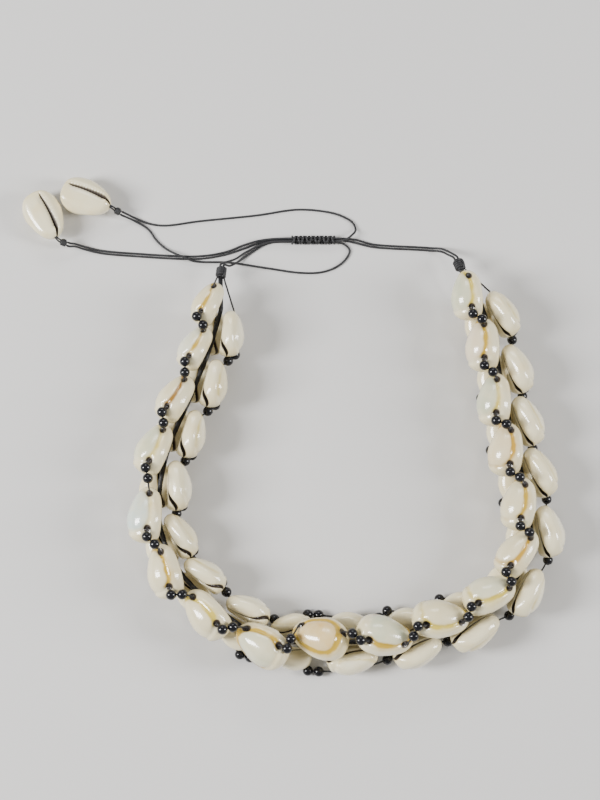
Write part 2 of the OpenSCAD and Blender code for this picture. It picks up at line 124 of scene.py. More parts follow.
# Dome tint and its strength, ring tint and its strength, and how strongly the ring closes below the dome
DOME, DOME_SHARE, RING, RING_SHARE, BAND = range(5)
TOP_LOOKS = [
    ("cream", 0.75, "gold", 0.75, 0.1),
    ("blue", 0.4, "gold", 0.6, 0.0),
    ("cream", 0.6, "brown", 0.8, 0.0),
    ("green", 0.55, "straw", 0.6, 0.0),
    ("blue", 0.8, "straw", 0.3, 0.0),
    ("cream", 0.6, "gold", 0.8, 0.0),
    ("cream", 0.7, "straw", 0.9, 0.0),
    ("green", 0.45, "gold", 1.0, 0.15),
    ("amber", 0.9, "gold", 1.0, 1.0),
    ("green", 0.65, "gold", 0.85, 0.15),
    ("cream", 0.9, "straw", 0.8, 0.6),
    ("green", 0.4, "straw", 0.85, 0.5),
    ("cream", 0.6, "orange", 0.8, 0.5),
    ("cream", 0.5, "gold", 0.75, 0.35),
    ("amber", 0.35, "orange", 0.8, 0.55),
    ("green", 0.75, "straw", 0.5, 0.0),
    ("pink", 0.6, "gold", 0.85, 0.1),
    ("green", 0.65, "straw", 0.7, 0.0),
]
SIDE_LOOKS = [
    ("white", 0.3, "straw", 0.35, 0.0),
    ("white", 0.3, "straw", 0.1, 0.0),
    ("cream", 0.4, "straw", 0.3, 0.0),
]
TAIL_LOOK = ("cream", 0.3, "straw", 0.3, 0.0)

# Routes of the closing strands and ends of the knots, in millimetres
LEFT_KNOT = ((-22.5, 47.8, 8.1), (-22.1, 51.5, 7.1))
RIGHT_KNOT = ((56.2, 50.2, 8.6), (54.9, 53.8, 7.6))
SLIDE_AT = (7.9, 62.2, 1.6)
TAIL_SHELLS = {
    "tail_shell_1": ((-80.9, 69.4), (-0.48, 0.88)),
    "tail_shell_2": ((-67.2, 75.5), (-0.93, 0.36)),
}
TAIL_SHARE = 0.97
TAIL_1_KNOT = ((-75.6, 61.0, 4.6), (-73.6, 60.4, 3.8))
TAIL_2_KNOT = ((-57.8, 71.8, 4.6), (-56.0, 71.0, 3.8))
LANE = 0.45
STRANDS_APART = 0.55
SLIDE_L = 14.6
LEFT_A = ((-20.6, 54, 4.6), (-17.8, 55.8, 1.6), (-14.4, 58.3, 0.8), (-7.5, 61.3, 1.7))
LEFT_B = ((-19.6, 52.8, 4), (-16.8, 55, 1.4), (-13.2, 57.8, 0.4), (-7.2, 61.3, 0.7))
UPPER_LOOP = (
    (18.4, 62, 2.8), (20.8, 63.8, 2.4), (22, 66, 0.8), (21, 68.5, 0.4), (18, 70.5, 0.4), (13.5, 72, 0.4),
    (3, 73, 0.4), (-11, 71, 0.4), (-30, 69, 0.4), (-41.5, 67.5, 0.4), (-46.5, 68.1, 0.4),
    (-51, 69.8, 0.8), (-53.6, 70.8, 2),
)
LOWER_LOOP = (
    (18.4, 60.9, 0.5), (20, 59, 0.4), (19, 56.4, 0.4), (16, 53.6, 0.4), (11, 51.6, 0.4), (4, 51.3, 0.4),
    (-8, 53, 0.4), (-20, 54.8, 0.4), (-28.5, 55, 0.4), (-32, 55.2, 1.1), (-35, 56.4, 1.7),
    (-38, 57.6, 1.7), (-41, 59.5, 0.6), (-44.2, 62.4, 0.4), (-47, 66.2, 0.4), (-51.2, 68.8, 0.8),
    (-53.8, 69.8, 2),
)
RIGHT_C = ((52.4, 56.2, 5.2), (50, 58.2, 2), (46.4, 58.9, 0.4), (28, 60.1, 0.4), (21.6, 61.6, 0.5))
RIGHT_D = ((53.3, 56.9, 5), (50.4, 59.1, 2), (46.5, 59.8, 0.4), (28, 61, 0.4), (21.6, 62.5, 1.1))
TAIL_C = (
    (-5, 62.5, 0.8), (-10, 61.6, 0.4), (-15, 59.7, 0.4), (-21, 57.6, 0.4), (-30, 56.1, 0.4),
    (-51.5, 57, 0.4), (-62.5, 58, 0.4), (-68, 59.2, 1), (-71, 59.8, 2.4),
)
TAIL_D = (
    (-5, 62.6, 1.7), (-10, 62.1, 1.3), (-15, 60.8, 0.6), (-21, 58.5, 0.4), (-30, 57, 0.4),
    (-51.5, 57.9, 0.4), (-62.5, 58.9, 0.4), (-68, 60.1, 1), (-71, 60.7, 2.4),
)

# Wraps and weaves of the knots, in millimetres: radius of a coil, of its cord and of its filling, and turns
COIL_R, COIL_CORD, COIL_CORE, COIL_TURNS = range(4)
END_COIL = (1.35, 0.45, 1.15, 4.2)
TAIL_COIL = (0.9, 0.38, 0.75, 2.6)
LASH_CORD = 0.36
LOOP_CORD = 0.3
WEAVE_WIDE, WEAVE_HIGH, WEAVE_CORD = 1.17, 1.2, 0.37
SQUARE_KNOTS = 5
CORD_LAY = 2.2
CAP_DEPTH = 0.02

# Grooves of the slit across its lips, from its floor outwards: depth, distance from its edge and painted shade
LIP_DEPTH = (2.3, 1.2, 0.35, 0.08, 0, 0, 0)
LIP_OUT = (0.1, -0.08, 0, 0.16, 0.5, 1.1, 1.9)
LIP_SHADE = (1, 0.9, 0.5, 0.16, 0, 0, 0)

# How far the slit of a side row's shell swings up its side towards the lower end, in degrees
OUTER_SWING = 55
INNER_SWING = 85

# Place and half width of the dome inside the ring, in degrees round the shell from its drilled holes
DOME_AT = (60, 64)
CENTRE_DOME_AT = (42, 54)
TAIL_DOME_TURN = 46

# The slit: widths as shares of the set one, spans along the shell as shares, and the rest in millimetres
STRUNG_SLIT = 0.95
TAIL_SLIT = 1.55
TAIL_SLIT_TAPER = 1.3
TAIL_SLIT_SHIFT = 2.8
TAIL_SLIT_BOW = 0.9
SLIT_FLOOR = 0.12
SWING_SPAN = (0.1, 0.96)
SHUT_SPAN = (0.84, 0.93)
END_FADE = 3.2

# The teeth: how strongly a strung shell has them, their spans, and their reach and run on each lip
STRUNG_TEETH = 0.5
TEETH_START = (0.1, 0.2)
TEETH_END = (0.8, 0.92)
RIGHT_TOOTH, RIGHT_RUN = 0.16, 1.9
LEFT_TOOTH, LEFT_GROOVE = 0.03, 0.3
LEFT_SLOPE, SLOPE_RUN = 0.45, 2.4
# Painted shade where the left lip slopes into a tail shell's slit: strength, least distance out from the
# slit's edge, and place and half length along the shell
SLOPE_SHADE, SLOPE_SHADE_FROM, SLOPE_SHADE_AT, SLOPE_SHADE_HALF = 0.3, 0.3, 0.74, 0.12

# Relief of the back: the dome's middle and half length as shares, spans of the callus in reaches of the ring
# and in degrees, and depths and half widths of the ring's line, the funnels and the gullies
DOME_MIDDLE, DOME_HALF = 0.44, 0.38
CALLUS_SPAN, CALLUS_TURNS = (1.0, 1.25), (120, 160)
LINE_DEPTH, LINE_HALF, LINE_TURN = 0.16, 0.07, 110
RING_TURN, NO_RING = 125, 2.0
FUNNEL_DEPTH, FUNNEL_HALF = 1.1, 1.25
UPPER_GULLY, LOWER_GULLY, GULLY_HALF = 0.45, 0.6, 0.9
BASE_EDGE = 9
LEAST_REACH = 0.02

# Rows and columns of a shell's grid, the crowding of its columns round the holes, and its unevenness
STRUNG_GRID = (60, 42)
TAIL_GRID = (140, 36)
CROWDING, CROWD_HALF = 2.2, 16
WOBBLE, TAIL_WOBBLE = 0.012, 0.004

# What the camera looks at, in millimetres
AIM = (3.5, 6.5, 12.0)


# Sizes and colours that a user would change


def length(label, text, default):
    """A length in metres."""
    return bpy.props.FloatProperty(
        name=label, description=text, default=default, min=0, precision=5, unit="LENGTH", subtype="DISTANCE"
    )


def fraction(label, text, default):
    return bpy.props.FloatProperty(
        name=label, description=text, default=default, min=0, max=1, subtype="FACTOR"
    )


def colour(label, text, default):
    return bpy.props.FloatVectorProperty(
        name=label, description=text, subtype="COLOR", size=3, min=0, max=1, default=default
    )


class ShellSettings(bpy.types.PropertyGroup):
    body: colour("Body", "Porcelain of the margins", (0.82, 0.74, 0.50))
    warm: colour("Warm body", "Warmer clouds in the porcelain", (0.79, 0.64, 0.32))
    # painted shade: the dark brown laid into the slit, the drilled holes and the grooves between the teeth
    inside: colour("Inside", "Inside of the slit and the drilled holes", (0.03, 0.018, 0.01))
    slit: length("Slit", "Width of the slit, before each kind of shell takes its share", 0.00115)
    tooth_pitch: length("Tooth pitch", "Distance between two teeth", 0.00105)
    tooth_depth: length("Tooth depth", "Depth of the grooves between the teeth", 0.00018)
    callus: length("Callus", "Swelling of the margin outside the ring", 0.00055)
    polish: fraction("Polish", "Roughness of the porcelain", 0.2)


class BeadSettings(bpy.types.PropertyGroup):
    diameter: length("Diameter", "Diameter of a bead", 0.0033)
    bore: length("Bore", "Diameter of a bead's bore", 0.00095)
    glass: colour("Glass", "Colour of the black glass", (0.006, 0.006, 0.008))


class CordSettings(bpy.types.PropertyGroup):
    strand: length("Strand", "Diameter of a closing strand", 0.0008)
    thread: length("Thread", "Diameter of the stringing thread", 0.0006)
    lay: length("Lay", "Length of one turn of the plies", 0.0022)
    wax: colour("Waxed cord", "Colour of the waxed cord", (0.008, 0.008, 0.01))


class StageSettings(bpy.types.PropertyGroup):
    lens: bpy.props.FloatProperty(
        name="Lens", description="Focal length of the camera", default=80, min=1, unit="CAMERA"
    )
    distance: length("Distance", "Distance of the camera from its aim", 0.57)
    lean: bpy.props.FloatProperty(
        name="Lean",
        description="Lean of the camera from straight above",
        default=math.radians(10),
        subtype="ANGLE",
    )
    floor: colour("Floor", "Colour of the floor", (0.62, 0.61, 0.60))


# Places along the core cord, as the solids have them


def station(t, column):
    k = min(max(math.floor(t), 1), N_TOP - 1)
    f = t - k
    return STATIONS[k - 1][column] * (1 - f) + STATIONS[k][column] * f


def station_xy(k):
    if k < 1:
        return 2 * station_xy(1) - station_xy(2)
    if k > N_TOP:
        return 2 * station_xy(N_TOP) - station_xy(N_TOP - 1)
    return Vector(ROPE_AT) + SHELL_L * Vector(STATIONS[k - 1][:2])


def core_xy(t):
    k = min(math.floor(t), N_TOP - 1)
    f = t - k
    a, b = station_xy(k), station_xy(k + 1)
    slope_a = (station_xy(k + 1) - station_xy(k - 1)) / 2
    slope_b = (station_xy(k + 2) - station_xy(k)) / 2
    start = a * (1 + 2 * f) * (1 - f) ** 2 + slope_a * f * (1 - f) ** 2
    return start + b * f * f * (3 - 2 * f) - slope_b * f * f * (1 - f)


def core_way(t):
    way = core_xy(min(t + 0.02, N_TOP)) - core_xy(max(t - 0.02, 1))
    return Vector((way.x, way.y, 0)).normalized()


def is_under(t, turn):
    return turn == (ROW_TURN if t < CENTRE else -ROW_TURN)


def shell_share(t, turn):
    if turn == 0:
        return STATIONS[int(t) - 1][SIZE]
    return STATIONS[math.floor(t) - 1][SIDE] * (UNDER_SIZE if is_under(t, turn) else 1)


def hole_turn(t, turn):
    if turn == 0:
        return STATIONS[int(t) - 1][HOLE]
    if abs(t - CENTRE) < 1:
        return 0
    return UNDER_HOLE if is_under(t, turn) else SIDE_HOLE


def frame_at(t, turn, height):
    """Ways along, across and out of the back of a shell, its middle and its size."""
    way = core_way(t)
    inner = Vector((-way.y, way.x, 0))
    roll = math.radians(station(t, ROLL) + turn)
    out = math.cos(roll) * inner + Vector((0, 0, math.sin(roll)))
    along = way if t <= CENTRE else -way
    yaw = math.radians(station(t, YAW) if turn == 0 else 0 if is_under(t, turn) else SIDE_YAW)
    turned = math.cos(yaw) * along + math.sin(yaw) * along.cross(out)
    lift = math.radians(SHELL_LIFT)
    x = math.cos(lift) * turned + math.sin(lift) * out
    straight = math.cos(lift) * out - math.sin(lift) * turned
    lean = math.radians(0 if turn == 0 or is_under(t, turn) else SIDE_LEAN)
    back = math.cos(lean) * straight + math.sin(lean) * straight.cross(x)
    share = shell_share(t, turn)
    seat = max(SPREAD * SHELL_W / 2, CORE_D / 2 + CORE_ROOM + BASE_DEPTH * share)
    place = Vector((*core_xy(t), height)) + seat * out
    return x, back.cross(x), back, place, share


def half_width(along, radius):
    if along < WIDEST:
        share = ((WIDEST - along) / WIDEST) ** SLENDER_POWER
    else:
        share = ((along - WIDEST) / (1 - WIDEST)) ** OUTLINE_POWER
    return radius * math.sqrt(max(0, 1 - share))


def under_core(f):
    x, y, back, place, share = f
    round_z = math.hypot(y.z, back.z)
    radius = SHELL_W / 2 * share
    steps = [k / 100 for k in range(101)]
    return max(half_width(a, radius) * round_z - (a - 0.5) * SHELL_L * share * x.z for a in steps) - place.z


# Height of the core cord at each step, so that the lower of the two side rows rests on the surface
LEVELS = {
    k: max(under_core(frame_at(k + 0.5, turn, 0)) for turn in (-ROW_TURN, ROW_TURN)) for k in range(1, N_TOP)
}


def core_z(t):
    s = min(max(t - 0.5, 1), N_TOP - 1)
    k = math.floor(s)
    return LEVELS[k] * (1 - s + k) + (LEVELS[k + 1] * (s - k) if s > k else 0)


def core_point(t):
    return Vector((*core_xy(t), core_z(t)))


def shell_frame(t, turn):
    return frame_at(t, turn, core_z(t))


def shell_matrix(f):
    """Takes a full-size shell in millimetres to its place in metres."""
    x, y, back, place, share = f
    columns = Matrix((x, y, back)).transposed() * share
    return Matrix.Scale(MM, 4) @ Matrix.Translation(place) @ columns.to_4x4()


def hole_point(t, turn, along, height):
    """A point at a height off a shell's surface, at the turn of its holes."""
    x, y, back, place, share = shell_frame(t, turn)
    d = 0.01
    rise = half_width(along + d, SHELL_W / 2) - half_width(along - d, SHELL_W / 2)
    off = Vector((-rise, 2 * d * SHELL_L)).normalized()
    width = half_width(along, SHELL_W / 2 * share) + height * off.y
    angle = math.radians(hole_turn(t, turn))
    p = ((along - 0.5) * SHELL_L * share + height * off.x, width * math.sin(angle), width * math.cos(angle))
    return place + p[0] * x + p[1] * y + p[2] * back


# Shader maths


class Number:
    """A socket; sums, products and powers of it add Math nodes."""

    def __init__(self, shader, socket):
        self.shader = shader
        self.socket = socket

    def maths(self, operation, *values):
        return self.shader.node("ShaderNodeMath", {"operation": operation}, values)

    def __add__(self, other):
        return self.maths("ADD", self, other)

    __radd__ = __add__

    def __sub__(self, other):
        return self.maths("SUBTRACT", self, other)

    def __rsub__(self, other):
        return self.maths("SUBTRACT", other, self)

    def __mul__(self, other):
        return self.maths("MULTIPLY", self, other)

    __rmul__ = __mul__

    def __abs__(self):
        return self.maths("ABSOLUTE", self)

    def sine(self):
        return self.maths("SINE", self)

    def ramp(self, low, high):
        """0 at low, 1 at high, eased between them; low may be above high."""
        settings = {"interpolation_type": "SMOOTHSTEP", "clamp": True}
        if low > high:
            return 1 - self.ramp(high, low)
        span = {"Value": self, "From Min": low, "From Max": high}
        return self.shader.node("ShaderNodeMapRange", settings, span)


class Shader:
    """A material with one Principled shader."""

    def __init__(self, name):
        self.material = bpy.data.materials.new(name)
        self.material.use_nodes = True
        self.tree = self.material.node_tree
        self.principled = self.tree.nodes["Principled BSDF"]

    def node(self, kind, settings, inputs, output=0):
        made = self.tree.nodes.new(kind)
        for key, value in settings.items():
            setattr(made, key, value)
        pairs = inputs.items() if isinstance(inputs, dict) else enumerate(inputs)
        for key, value in pairs:
            self.feed(made, key, value)
        outputs = [s for s in made.outputs if s.enabled]
        chosen = made.outputs[output] if isinstance(output, str) else outputs[output]
        return Number(self, chosen)

    def feed(self, made, key, value):
        usable = [s for s in made.inputs if s.enabled]
        socket = usable[key] if isinstance(key, int) else next(s for s in usable if s.name == key)
        if isinstance(value, Number):
            self.tree.links.new(value.socket, socket)
        elif isinstance(value, (tuple, list)) and socket.type == "RGBA" and len(value) == 3:
            socket.default_value = (*value, 1)
        else:
            socket.default_value = value

    def set(self, **values):
        for key, value in values.items():
            self.feed(self.principled, key.replace("_", " "), value)

    def mix(self, factor, a, b):
        return self.node("ShaderNodeMix", {"data_type": "RGBA"}, {"Factor": factor, "A": a, "B": b})

    def attribute(self, name, output="Fac"):
        return self.node("ShaderNodeAttribute", {"attribute_name": name}, {}, output)

    def here(self):
        return self.node("ShaderNodeTexCoord", {}, {}, "Object")

    def noise(self, vector, scale, detail=2.0, distortion=0.0):
        values = {"Vector": vector, "Scale": scale, "Detail": detail, "Distortion": distortion}
        return self.node("ShaderNodeTexNoise", {}, values)

    def bump(self, height, strength, distance):
        values = {"Height": height, "Strength": strength, "Distance": distance}
        self.set(Normal=self.node("ShaderNodeBump", {}, values))


def porcelain(settings):
    """Cowrie porcelain: cream margins, a tinted dome inside a golden ring, painted shade in the slit and the
    drilled holes.
    """
    s = Shader("cowrie_porcelain")
    here = s.here()
    ring = s.attribute("ring_reach")
    along = s.attribute("shell_along")
    recess_shade = s.attribute("recess_shade")
    clouds = s.noise(here, 160, 3)
    fine = s.noise(here, 900, 3)
    streak = s.noise(here, 420, 2, 0.6)
    body = s.mix(clouds.ramp(0.42, 0.72) * 0.42, tuple(settings.body), tuple(settings.warm))
    body = s.mix(along.ramp(0.8, 1.0) * 0.22, body, TINTS["straw"])
    dome = ring.ramp(1.06, 0.78)
    blotches = s.noise(here, 190, 2).ramp(0.2, 0.8) * 0.7 + 0.45
    body = s.mix(dome * blotches * s.attribute("dome_tint", "Alpha"), body, s.attribute("dome_tint", "Color"))
    line = (1 - abs(ring + (streak - 0.5) * 0.12 - 1) * 5.2).ramp(0, 1)
    halo = (1 - abs(ring - 1.12) * 2.4).ramp(0, 1) * 0.5
    open_below = 1 - along.ramp(0.7, 0.78) * (1 - s.attribute("closing"))
    patches = s.noise(here, 230, 1).ramp(0.25, 0.75) * 0.6 + 0.6
    strength = (line + halo) * s.attribute("ring_tint", "Alpha") * open_below * patches
    body = s.mix((strength * 1.05).ramp(0, 1), body, s.attribute("ring_tint", "Color"))
    # painted shade: the inside colour darkens the slit, the drilled holes and the grooves between the teeth
    body = s.mix(recess_shade.ramp(0.12, 0.75), body, tuple(settings.inside))
    s.set(Base_Color=body, Roughness=settings.polish - 0.05 + fine * 0.1 + recess_shade * 0.4)
    s.set(Coat_Weight=0.7, Coat_Roughness=0.05, IOR=1.55)
    s.bump(clouds * 0.7 + fine * 0.12 + (along * 150 + clouds * 5).sine() * 0.05, 0.25, 0.0004)
    return s.material


def black_glass(settings):
    """Glossy black glass, worn dull at the bores."""
    s = Shader("black_bead_glass")
    here = s.here()
    worn = s.noise(here, 1400, 2)
    rim = s.attribute("bore_rim")
    tone = s.mix(worn.ramp(0.45, 0.8) * 0.5, tuple(settings.glass), (0.016, 0.016, 0.02))
    s.set(Base_Color=s.mix(rim, tone, (0.03, 0.03, 0.032)), Roughness=0.06 + worn * 0.05 + rim * 0.4)
    s.set(IOR=1.45)
    s.bump(worn, 0.08, 0.0002)
    return s.material


def waxed_cord(settings):
    """Black waxed cord: three plies with dull fibres and smears of wax."""
    s = Shader("waxed_cord")
    here = s.here()
    fibre = s.noise(here, 2600, 3)
    wax = s.noise(here, 500, 2)
    turns = s.attribute("ply_turn")
    groove = abs((turns * math.pi * 3).sine()).ramp(0, 0.6)
    tone = s.mix(wax.ramp(0.4, 0.75) * 0.6, tuple(settings.wax), (0.018, 0.018, 0.02))
    tone = s.mix(fibre.ramp(0.6, 0.85) * 0.25, tone, (0.04, 0.04, 0.042))
    s.set(Base_Color=tone, Roughness=0.36 + wax * 0.22 + fibre * 0.1)
    s.set(Sheen_Weight=0.05, Sheen_Roughness=0.4)
    s.bump(groove * 0.8 + fibre * 0.5, 0.5, 0.00012)
    return s.material


# Meshes


def shown(name, bm, material, replaced=()):
    """Makes an object of a bmesh in metres, on the necklace's only body."""
    bmesh.ops.recalc_face_normals(bm, faces=bm.faces)
    mesh = bpy.data.meshes.new(name)
    bm.to_mesh(mesh)
    bm.free()
    mesh.materials.append(material)
    for face in mesh.polygons:
        face.use_smooth = True
    obj = bpy.data.objects.new(name, mesh)
    bpy.context.scene.collection.objects.link(obj)
    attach(obj, ROOT)
    if replaced:
        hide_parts(*replaced)
    return obj


def layer(kind, name):
    return kind.get(name) or kind.new(name)


def wrapped_grid(bm, rows, columns, place, values):
    """A grid laid round a closed form: place and values take row and column numbers; poles and seam close."""
    layers = {name: layer(bm.verts.layers.float, name) for name in values}
    made = bmesh.ops.create_grid(bm, x_segments=rows, y_segments=columns, size=0.5)["verts"]
    for v in made:
        i, j = round((v.co.x + 0.5) * rows), round((v.co.y + 0.5) * columns) % columns
        for name, table in values.items():
            v[layers[name]] = float(table[i][j])
        v.co = place[i][j]
    bmesh.ops.remove_doubles(bm, verts=made, dist=1e-7)
    return [v for v in made if v.is_valid]


def smooth_step(x, low, high):
    s = np.clip((x - low) / (high - low), 0, 1)
    return s * s * (3 - 2 * s)


def slit_y(x, toothed):
    """How far the slit lies from the middle of the base, in millimetres."""
    if toothed == 1:
        return TAIL_SLIT_SHIFT - TAIL_SLIT_BOW * (x / (SHELL_L / 2)) ** 2
    return SLIT_SHIFT - SLIT_BEND + np.sqrt(SLIT_BEND**2 - (x - SLIT_PEAK) ** 2)


def dorsal_angles(low, high, count, hole):
    """Angles over the back, closer together round the drilled holes."""
    fine = np.linspace(low, high, 600)
    weight = 1 + CROWDING * np.exp(-(((fine - hole) / CROWD_HALF) ** 2))
    total = np.concatenate([[0], np.cumsum((weight[1:] + weight[:-1]) / 2)])
    return np.interp(np.linspace(0, total[-1], count), total, fine)


def cowrie_grid(settings, hole, rows, backs, holes, toothed, swing, dome):
    """Points and marks of a full-size cowrie round its axis, in millimetres, slit down and back up.

    A tail shell is toothed by 1, has no drilled holes and shows its aperture; a strung one is toothed less.
    """
    along = 0.5 - 0.5 * np.cos(np.pi * np.arange(rows + 1) / rows)
    x = (along - 0.5) * SHELL_L
    columns = 2 * len(LIP_DEPTH) + backs
    aperture_up = toothed == 1
    points = np.zeros((rows + 1, columns, 3))
    marks = {name: np.zeros((rows + 1, columns)) for name in ("ring_reach", "shell_along", "recess_shade")}
    radius = SHELL_W / 2
    for i in range(rows + 1):
        a = along[i]
        r = half_width(a, radius)
        width = settings.slit / MM * (TAIL_SLIT - TAIL_SLIT_TAPER * a if aperture_up else STRUNG_SLIT)
        turned_up = -swing * float(smooth_step(a, *SWING_SPAN))
        shut = 1 - float(smooth_step(a, *SHUT_SPAN)) if aperture_up else 1
        near_end = min(1, r / END_FADE)
        tooth = 0.5 + 0.5 * math.cos(2 * math.pi * x[i] * MM / settings.tooth_pitch)
        mid = float(smooth_step(a, *TEETH_START) * (1 - smooth_step(a, *TEETH_END)))
        ys = float(slit_y(x[i], toothed)) * near_end
        lips = []
        for side in (1, -1):
            for d, o, dark in zip(LIP_DEPTH, LIP_OUT, LIP_SHADE, strict=True):
                half = width / 2 - toothed * (RIGHT_TOOTH if side > 0 else LEFT_TOOTH) * (1 - tooth) * mid
                y = ys + side * near_end * (SLIT_FLOOR if d == LIP_DEPTH[0] else half + o)
                groove = 0
                if o >= 0 and d < 1:
                    fade = max(0, 1 - o / RIGHT_RUN) if side > 0 else LEFT_GROOVE * max(0, 1 - o)
                    groove = settings.tooth_depth / MM * tooth * mid * fade
                slope = 0
                if o >= 0:
                    slope = LEFT_SLOPE * toothed * (side < 0) * max(0, 1 - o / SLOPE_RUN) * mid
                # painted shade on the left lip of a tail shell, where it slopes down into the slit
                on_slope = aperture_up and side < 0 and o > SLOPE_SHADE_FROM
                slope_shade = SLOPE_SHADE * math.exp(-(((a - SLOPE_SHADE_AT) / SLOPE_SHADE_HALF) ** 2)) if on_slope else 0
                lips.append((y, d * near_end * shut, groove + slope, max(dark * shut, slope_shade)))
        right, left = lips[: len(LIP_DEPTH)], lips[len(LIP_DEPTH) :]
        base_z = min(BASE_DEPTH, 0.999 * r) if r > 0 else 0

        def lip_angle(y):
            return math.degrees(math.atan2(y, -max(base_z, 1e-3))) % 360 - turned_up

        turns = dorsal_angles(lip_angle(left[-1][0]) - 360, lip_angle(right[-1][0]), backs + 2, hole)[1:-1]
        ring_list = [(lip_angle(y), d, g, dark) for y, d, g, dark in right]
        ring_list += [(t, 0, 0, 0) for t in turns[::-1]]
        ring_list += [(lip_angle(y), d, g, dark) for y, d, g, dark in left[::-1]]
        for j, (angle, d, g, dark) in enumerate(ring_list):
            phi = math.radians(angle)
            turn = (angle + 180) % 360 - 180
            s, c = math.sin(phi), math.cos(phi)
            reach = r
            if c < 0 and r > 0:
                centre = BASE_BEND - BASE_DEPTH
                base = centre * c + math.sqrt(max(0, (centre * c) ** 2 - centre**2 + BASE_BEND**2))
                reach = (r**-BASE_EDGE + base**-BASE_EDGE) ** (-1 / BASE_EDGE)
            lean = abs((a - DOME_MIDDLE) / DOME_HALF) ** 3 + abs((turn - hole + dome[0]) / dome[1]) ** 3
            ring = lean ** (1 / 3) if lean > 0 else 0
            side_swell = float(smooth_step(ring, *CALLUS_SPAN) * (1 - smooth_step(abs(turn), *CALLUS_TURNS)))
            swell = settings.callus / MM * side_swell * near_end
            line = math.exp(-(((ring - 1.0) / LINE_HALF) ** 2)) * (abs(turn) < LINE_TURN)
            dip = LINE_DEPTH * line * near_end
            across = (turn - hole) * math.pi / 180 * max(r, 0.5)
            nick = 0
            for h in holes:
                gap = math.hypot((a - h) * SHELL_L, across)
                nick = max(nick, math.exp(-((gap / FUNNEL_HALF) ** 2)))
            gully = 0
            if holes:
                upper = 1 - float(smooth_step(a, UPPER_HOLE - 0.02, UPPER_HOLE + 0.06))
                lower = float(smooth_step(a, holes[-1] - 0.03, holes[-1] + 0.02))
                deep = UPPER_GULLY * upper + LOWER_GULLY * lower
                gully = deep * math.exp(-((across / GULLY_HALF) ** 2)) * near_end
            reach += swell - dip - gully - nick * FUNNEL_DEPTH * near_end - d - g * near_end
            reach = max(reach, LEAST_REACH * r)
            points[i, j] = (x[i], reach * s, reach * c)
            marks["ring_reach"][i, j] = ring if abs(turn) < RING_TURN else NO_RING
            marks["shell_along"][i, j] = a
            # painted shade: darkest on the slit's floor, in the funnels of the drilled holes, in the grooves
            # between the teeth and on the slope of the left lip
            marks["recess_shade"][i, j] = min(1, max(dark, (nick - 0.25) * 3.2 if holes else 0, g * 1.2))
    return points, marks


TINT_LAYERS = (("dome_tint", DOME, DOME_SHARE), ("ring_tint", RING, RING_SHARE))


def shell_bmesh(bm, grid, look, matrix, wobble):
    """Adds a cowrie to a bmesh, a little uneven by its wobble, with the tints of its look."""
    points, marks = grid
    rows, columns = points.shape[0] - 1, points.shape[1]
    bulge = 1 + wobble * np.sin(points[:, :, 0:1] * 0.35 + wobble * 90)
    moved = points * np.concatenate([np.ones_like(bulge), bulge, bulge], axis=2)
    place = [[matrix @ Vector(p) for p in row] for row in moved]
    values = dict(marks)
    values["closing"] = np.full(points.shape[:2], look[BAND])
    colours = bm.verts.layers.float_color
    for name in [*values, *[name for name, _, _ in TINT_LAYERS]]:
        layer(colours if name.endswith("_tint") else bm.verts.layers.float, name)
    tints = {colours[name]: (*TINTS[look[tint]], look[strength]) for name, tint, strength in TINT_LAYERS}
    for v in wrapped_grid(bm, rows, columns, place, values):
        for kept, tint in tints.items():
            v[kept] = tint


def sweep(bm, path, radius, sides=12, plies=0.0, lay=CORD_LAY):
    """A round cord of three plies along a path in millimetres, with closed ends."""
    path = [Vector(p) for p in path]
    n = len(path)
    ways = [(path[min(k + 1, n - 1)] - path[max(k - 1, 0)]).normalized() for k in range(n)]
    first = ways[0].orthogonal().normalized()
    run = 0.0
    rings, turns = [], []
    for k in range(n):
        if k:
            first = (first - first.dot(ways[k]) * ways[k]).normalized()
            run += (path[k] - path[k - 1]).length
        second = ways[k].cross(first)
        ring, marks = [], []
        for j in range(sides):
            angle = 2 * math.pi * j / sides
            turn = j / sides + run / lay
            r = radius * (1 - plies + plies * math.cos(3 * 2 * math.pi * turn))
            if k in (0, n - 1):
                r = 0.0
            ring.append((path[k] + r * (math.cos(angle) * first + math.sin(angle) * second)) * MM)
            marks.append(run / lay)
        rings.append(ring)
        turns.append(marks)
    rings.insert(1, ring_at(path[0] + ways[0] * CAP_DEPTH, ways[0], radius, sides))
    rings.insert(len(rings) - 1, ring_at(path[-1] - ways[-1] * CAP_DEPTH, ways[-1], radius, sides))
    turns.insert(1, turns[0])
    turns.insert(len(turns) - 1, turns[-1])
    wrapped_grid(bm, len(rings) - 1, sides, rings, {"ply_turn": turns})


def ring_at(centre, way, radius, sides):
    first = way.orthogonal().normalized()
    second = way.cross(first)
    angles = [2 * math.pi * j / sides for j in range(sides)]
    return [(centre + radius * (math.cos(a) * first + math.sin(a) * second)) * MM for a in angles]


def smooth_path(points, step=0.35):
    """A Catmull-Rom curve through the route's points, in millimetres."""
    pts = [Vector(p) for p in points]
    out = [pts[0]]
    for k in range(len(pts) - 1):
        p0, p1, p2, p3 = pts[max(k - 1, 0)], pts[k], pts[k + 1], pts[min(k + 2, len(pts) - 1)]
        span = (p2 - p1).length
        a, b = max((p1 - p0).length, 1e-6) ** 0.5, max(span, 1e-6) ** 0.5
        c = max((p3 - p2).length, 1e-6) ** 0.5
        m1 = (p2 - p1) + b * ((p1 - p0) / a - (p2 - p0) / (a + b)) if k else p2 - p1
        m2 = (p2 - p1) + b * ((p3 - p2) / c - (p3 - p1) / (b + c)) if k < len(pts) - 2 else p2 - p1
        count = max(2, round(span / step))
        for i in range(1, count + 1):
            f = i / count
            f2, f3 = f * f, f * f * f
            h = (2 * f3 - 3 * f2 + 1) * p1 + (f3 - 2 * f2 + f) * m1 + (3 * f2 - 2 * f3) * p2 + (f3 - f2) * m2
            out.append(h)
    return out


